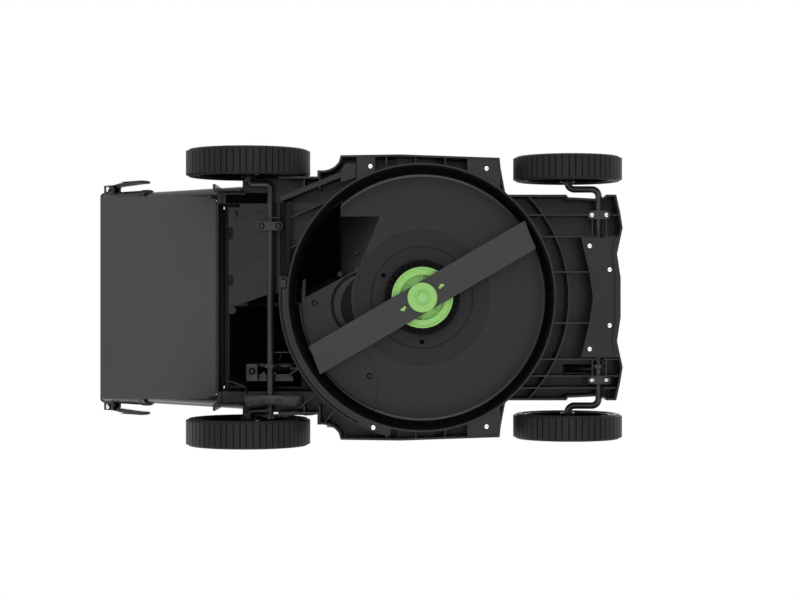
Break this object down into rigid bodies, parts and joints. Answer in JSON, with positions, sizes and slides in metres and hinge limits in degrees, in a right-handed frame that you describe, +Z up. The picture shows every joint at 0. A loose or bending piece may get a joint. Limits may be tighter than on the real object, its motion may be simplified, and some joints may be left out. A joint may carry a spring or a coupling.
{
  "type": "lawn mower",
  "caption": "Cordless rotary push mower with round cutting chamber, rear grass box, folding telescopic handle and one-lever height setting.",
  "frame": {"origin": "on the ground, under the middle of the whole mower's box", "axes": "+X forward, +Y to the mower's left, +Z up"},
  "size_m": [1.4432, 0.488, 1.0159],
  "materials": {
    "deck_plastic": "fine moulded grain, charcoal",
    "grey_plastic": "moulded, dark grey",
    "black_plastic": "moulded, black",
    "green_shell": "satin green moulding",
    "green_hub": "bright green moulding",
    "black_paint": "black powder coat",
    "tyre_plastic": "dark grey tread",
    "rim_plastic": "dark grey moulding",
    "box_plastic": "smooth grey moulding",
    "lid_plastic": "charcoal moulding",
    "axle_steel": "dark zinc plate",
    "dark_zinc": "black passivated zinc",
    "fan_black": "moulded, deep black",
    "bright_steel": "bright zinc plate",
    "blade_paint": "dark grey powder coat",
    "dark_bolt": "blackened and oiled",
    "tube_paint": "charcoal powder coat",
    "foam": "closed foam",
    "copper": "enamelled windings",
    "brass": "contact blades",
    "board": "circuit board"
  },
  "bodies": {
    "chassis": {"deck": "deck_plastic", "chute_floor": "grey_plastic", "rear_baffle": "deck_plastic", "belly_plate": "deck_plastic", "top_cover": "green_shell", "motor_base": "black_paint", "motor_stator": "copper", "motor_bearings": "bright_steel", "motor_housing": "black_plastic", "controller": "board", "battery_bay": "black_plastic", "battery_terminals": "brass", "front_axle_straps": "grey_plastic", "rear_axle_strap": "dark_zinc", "axle_bracket": "dark_zinc", "height_quadrant": "dark_zinc", "deck_screws": "bright_steel", "handle_brackets": "black_plastic", "door_hinge_rod": "bright_steel"},
    "front_axle_body": {"front_axle": "axle_steel"},
    "rear_axle_body": {"rear_axle": "axle_steel", "height_lever": "dark_zinc", "height_knob": "green_shell"},
    "link": {"link_rod": "dark_zinc"},
    "cutter": {"blade": "blade_paint", "blade_carrier": "green_hub", "blade_fan": "fan_black", "blade_washer": "green_hub", "blade_bolt": "dark_bolt", "motor_rotor": "bright_steel"},
    "door": {"rear_door": "deck_plastic"},
    "grass_box": {"box_tray": "box_plastic", "box_lid": "lid_plastic", "box_frame": "deck_plastic"},
    "full_flap": {"box_full_flap": "green_shell"},
    "battery": {"battery_pack": "black_plastic"},
    "battery_button": {"battery_latch": "green_shell"},
    "lid": {"battery_lid": "black_plastic"},
    "lower_handle": {"lower_tubes": "tube_paint", "clamp_housings": "black_plastic", "handle_pins": "bright_steel"},
    "upper_loop": {"upper_handle": "tube_paint", "grip_sleeve": "foam", "control_box": "black_plastic"},
    "bail_bar": {"bail": "tube_paint"},
    "button": {"start_button": "green_shell"},
    "cam_left": {"cam_lever_left": "black_plastic"},
    "cam_right": {"cam_lever_right": "black_plastic"},
    "rear_left_wheel": {"rear_left_tyre": "tyre_plastic", "rear_left_rim": "rim_plastic", "rear_left_cap": "green_shell"},
    "rear_right_wheel": {"rear_right_tyre": "tyre_plastic", "rear_right_rim": "rim_plastic", "rear_right_cap": "green_shell"},
    "front_left_wheel": {"front_left_tyre": "tyre_plastic", "front_left_rim": "rim_plastic", "front_left_cap": "green_shell"},
    "front_right_wheel": {"front_right_tyre": "tyre_plastic", "front_right_rim": "rim_plastic", "front_right_cap": "green_shell"}
  },
  "joints": [
    {"name": "height_adjust", "type": "hinge", "parent": "chassis", "child": "rear_axle_body", "pos_m": [0.14362, 0, 0.1025], "axis": [0, 1, 0], "range_deg": [-32, 32]},
    {"name": "front_axle_turn", "type": "hinge", "parent": "chassis", "child": "front_axle_body", "pos_m": [0.68482, 0, 0.08925], "axis": [0, 1, 0], "range_deg": [-22.6, 22.6]},
    {"name": "link_rod_swing", "type": "hinge", "parent": "rear_axle_body", "child": "link", "pos_m": [0.14362, 0.118, 0.1229], "axis": [0, 1, 0], "range_deg": [-32, 32]},
    {"name": "rear_left_spin", "type": "hinge", "parent": "rear_axle_body", "child": "rear_left_wheel", "pos_m": [0.10682, 0.2215, 0.1025], "axis": [0, 1, 0], "continuous": true},
    {"name": "rear_right_spin", "type": "hinge", "parent": "rear_axle_body", "child": "rear_right_wheel", "pos_m": [0.10682, -0.2215, 0.1025], "axis": [0, 1, 0], "continuous": true},
    {"name": "front_left_spin", "type": "hinge", "parent": "front_axle_body", "child": "front_left_wheel", "pos_m": [0.63362, 0.211, 0.08925], "axis": [0, 1, 0], "continuous": true},
    {"name": "front_right_spin", "type": "hinge", "parent": "front_axle_body", "child": "front_right_wheel", "pos_m": [0.63362, -0.211, 0.08925], "axis": [0, 1, 0], "continuous": true},
    {"name": "blade_spin", "type": "hinge", "parent": "chassis", "child": "cutter", "pos_m": [0.39432, 0, 0.06], "axis": [0, 0, 1], "continuous": true},
    {"name": "rear_door_lift", "type": "hinge", "parent": "chassis", "child": "door", "pos_m": [0.06932, 0, 0.269], "axis": [0, 1, 0], "range_deg": [0, 55]},
    {"name": "grass_box_draw", "type": "slide", "parent": "chassis", "child": "grass_box", "axis": [-0.866, 0, 0.5], "range_m": [0, 0.25]},
    {"name": "full_flap_lift", "type": "hinge", "parent": "grass_box", "child": "full_flap", "pos_m": [-0.31598, 0, 0.4418], "axis": [0, 1, 0], "range_deg": [0, 30]},
    {"name": "battery_eject", "type": "slide", "parent": "chassis", "child": "battery", "axis": [0, 0, 1], "range_m": [0, 0.013]},
    {"name": "battery_latch_pull", "type": "slide", "parent": "battery", "child": "battery_button", "axis": [-1, 0, 0], "range_m": [0, 0.004], "stiffness_N_per_m": 300, "springref_m": -0.003},
    {"name": "battery_lid_open", "type": "hinge", "parent": "chassis", "child": "lid", "pos_m": [0.57432, 0, 0.2555], "axis": [0, 1, 0], "range_deg": [0, 100]},
    {"name": "handle_fold", "type": "hinge", "parent": "chassis", "child": "lower_handle", "pos_m": [0.11932, 0, 0.175], "axis": [0, 1, 0], "range_deg": [0, 115]},
    {"name": "handle_telescope", "type": "slide", "parent": "lower_handle", "child": "upper_loop", "axis": [0.7071, 0, -0.7071], "range_m": [0, 0.17]},
    {"name": "cam_lever_left_open", "type": "hinge", "parent": "lower_handle", "child": "cam_left", "pos_m": [-0.17272, 0.2, 0.46704], "axis": [0.7071, 0, 0.7071], "range_deg": [0, 110]},
    {"name": "cam_lever_right_open", "type": "hinge", "parent": "lower_handle", "child": "cam_right", "pos_m": [-0.17272, -0.2, 0.46704], "axis": [-0.7071, 0, -0.7071], "range_deg": [0, 110]},
    {"name": "bail_squeeze", "type": "hinge", "parent": "upper_loop", "child": "bail_bar", "pos_m": [-0.62385, 0, 0.91817], "axis": [0, -1, 0], "range_deg": [0, 29], "stiffness_Nm_per_rad": 0.6, "springref_deg": -28.65},
    {"name": "start_button_press", "type": "slide", "parent": "upper_loop", "child": "button", "axis": [-0.7071, 0, -0.7071], "range_m": [0, 0.004], "stiffness_N_per_m": 200, "springref_m": -0.003}
  ],
  "couplings": [
    {"joint": "front_axle_turn", "follows": "height_adjust", "ratio": 0.705},
    {"joint": "link_rod_swing", "follows": "height_adjust", "ratio": -1}
  ]
}
